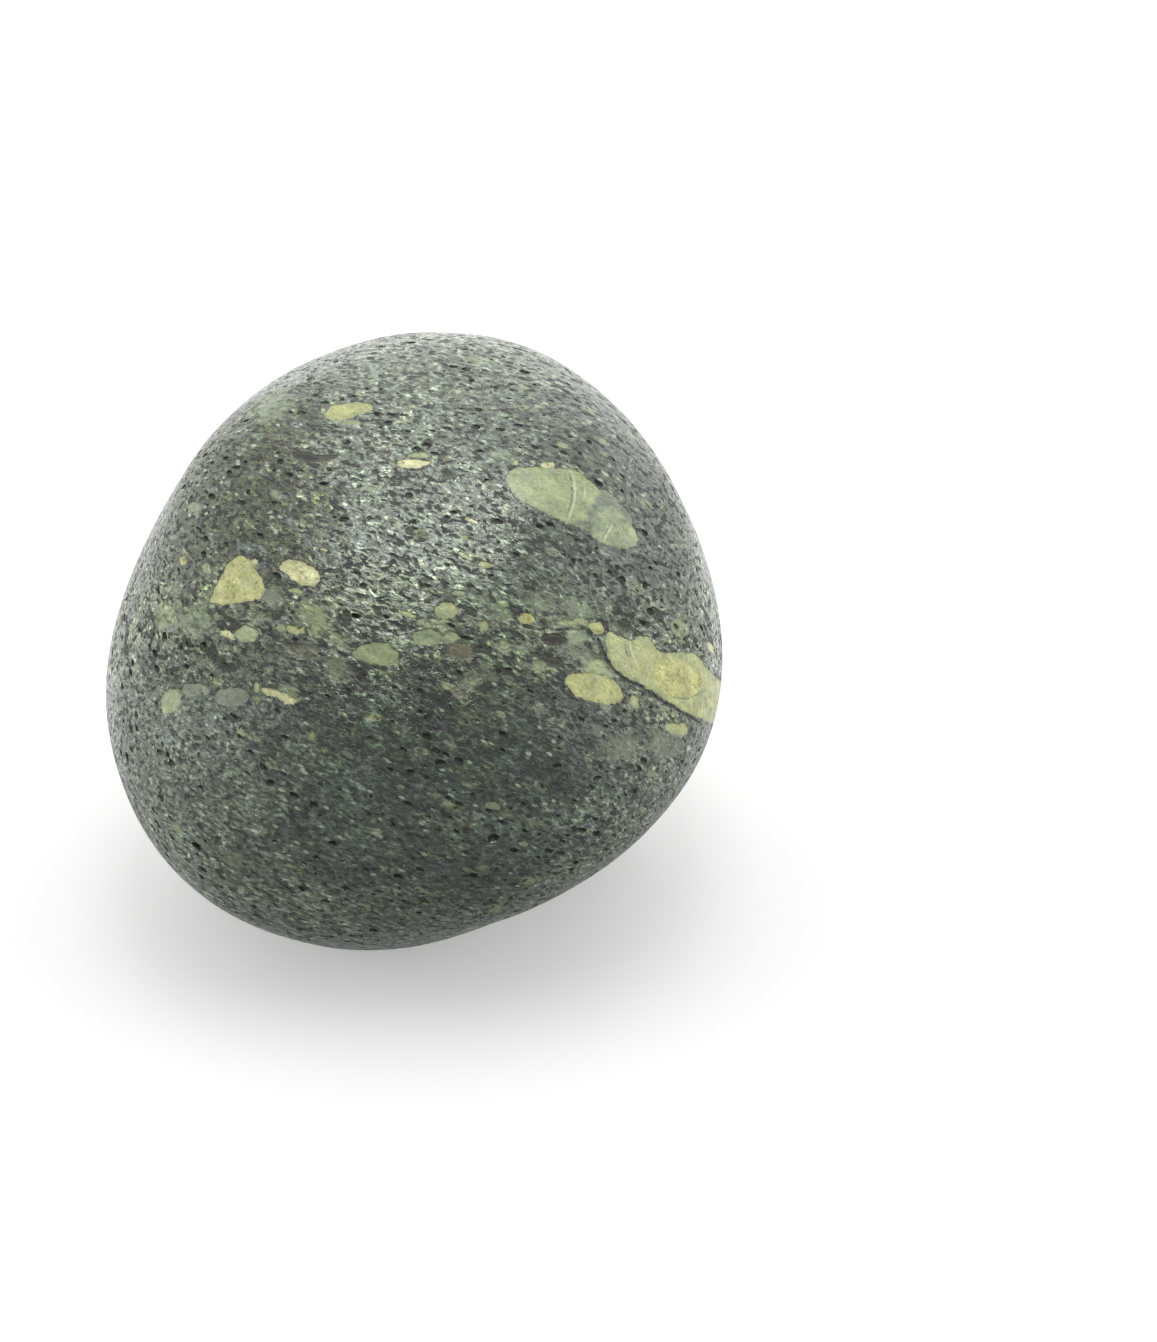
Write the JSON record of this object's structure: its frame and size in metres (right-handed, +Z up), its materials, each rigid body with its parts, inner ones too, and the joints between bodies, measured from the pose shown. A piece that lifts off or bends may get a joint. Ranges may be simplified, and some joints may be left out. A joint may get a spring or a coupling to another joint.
{
  "type": "viewing stone",
  "caption": "Water-worn cobble of green volcanic tuff with pale clasts and small pits, shown as a palm-sized viewing stone.",
  "frame": {"origin": "centre of the bounding box in plan, at the flat of the foot the stone rests on", "axes": "+Z up from the foot, +X to the right of the shown face, -Y towards the viewer of the shown face"},
  "size_m": [0.0794, 0.0862, 0.0774],
  "materials": {
    "green_tuff": "water-worn, low satin, pitted"
  },
  "bodies": {
    "root": {"viewing_stone": "green_tuff"}
  },
  "joints": []
}
